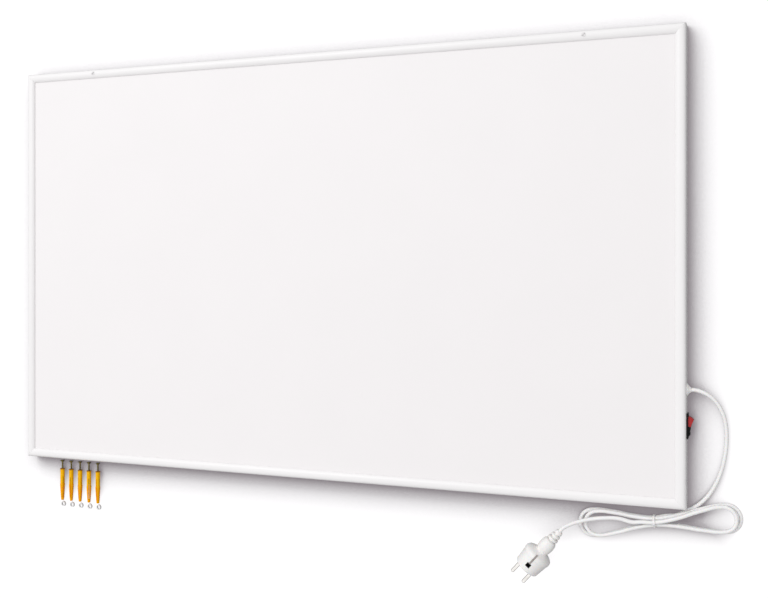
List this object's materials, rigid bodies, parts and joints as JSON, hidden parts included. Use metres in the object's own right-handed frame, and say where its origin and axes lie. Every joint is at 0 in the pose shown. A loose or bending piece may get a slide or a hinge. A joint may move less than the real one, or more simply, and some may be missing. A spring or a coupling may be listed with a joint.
{
  "type": "infrared panel heater",
  "caption": "White infrared panel heater with a domed frame, a rocker switch in its side, a bundled mains cord with plug, and its wall fixings laid beside it.",
  "frame": {"origin": "centre of the panel's rear face; the panel lies on its back, so this face is the surface it rests on", "axes": "+X along the long side, towards the side with the switch and the cord; +Y towards the top edge as it hangs on a wall; +Z out of the heated face"},
  "size_m": [1.0654, 0.7118, 0.0377],
  "materials": {
    "frame_paint": "white semi-gloss powder coat",
    "plate_paint": "white fine matte enamel",
    "rear_paint": "white matte powder coat",
    "screw_paint": "white painted screw heads",
    "white_plastic": "moulded, satin",
    "cord_plastic": "soft extruded sheath, satin",
    "black_plastic": "moulded, gloss",
    "red_plastic": "clear red, gloss",
    "carbon_film": "printed heating film",
    "copper": "plain copper strip",
    "steel": "zinc coated sheet",
    "nickel": "nickel plated",
    "zinc": "yellow passivated",
    "mineral_fill": "pressed mineral fibre board",
    "brown_wire": "insulated wire",
    "blue_wire": "insulated wire",
    "green_wire": "insulated wire, green and yellow",
    "orange_plastic": "moulded, satin",
    "grey_plastic": "moulded, satin"
  },
  "bodies": {
    "panel": {"frame_top": "frame_paint", "frame_bottom": "frame_paint", "frame_left": "frame_paint", "frame_right": "frame_paint", "corner_key_1": "steel", "corner_key_2": "steel", "corner_key_3": "steel", "corner_key_4": "steel", "crown_screw_1": "screw_paint", "crown_screw_2": "screw_paint", "front_plate": "plate_paint", "heating_mat": "carbon_film", "busbar_right": "copper", "busbar_left": "copper", "insulation_board": "mineral_fill", "rear_plate": "rear_paint", "hanger_cup_1": "steel", "hanger_cup_2": "steel", "hanger_cup_3": "steel", "hanger_cup_4": "steel", "switch_housing": "black_plastic", "switch_blade_common": "copper", "switch_blade_load": "copper", "cord_bushing": "white_plastic", "cord_inner": "cord_plastic", "cord_clamp": "white_plastic", "terminal_block": "white_plastic", "thermal_cutout": "steel", "earth_stud": "steel", "live_wire": "brown_wire", "switched_wire": "brown_wire", "earth_wire": "green_wire", "neutral_wire": "blue_wire", "power_cord_lead": "cord_plastic", "power_cord_hank": "cord_plastic", "power_cord_tail": "cord_plastic", "cord_tie": "white_plastic", "plug_body": "white_plastic", "plug_pin_1": "nickel", "plug_pin_2": "nickel", "earth_clip_1": "nickel", "earth_clip_2": "nickel", "wall_screw_1": "zinc", "wall_screw_2": "zinc", "wall_screw_3": "zinc", "wall_screw_4": "zinc", "wall_screw_5": "zinc", "wall_plug_1": "orange_plastic", "wall_plug_2": "orange_plastic", "wall_plug_3": "orange_plastic", "wall_plug_4": "orange_plastic", "wall_plug_5": "orange_plastic", "spacer_1": "grey_plastic", "spacer_2": "grey_plastic", "spacer_3": "grey_plastic", "spacer_4": "grey_plastic", "spacer_5": "grey_plastic"},
    "rocker_body": {"rocker": "red_plastic", "plunger": "steel"},
    "lever_body": {"contact_lever": "copper"}
  },
  "joints": [
    {"name": "rocker_tilt", "type": "hinge", "parent": "panel", "child": "rocker_body", "pos_m": [0.4985, -0.1974, 0.009], "axis": [0, 0, 1], "range_deg": [0, 26]},
    {"name": "lever_tilt", "type": "hinge", "parent": "panel", "child": "lever_body", "pos_m": [0.4845, -0.1974, 0.009], "axis": [0, 0, 1], "range_deg": [-18, 0]}
  ],
  "couplings": [
    {"joint": "lever_tilt", "follows": "rocker_tilt", "ratio": -0.69}
  ]
}
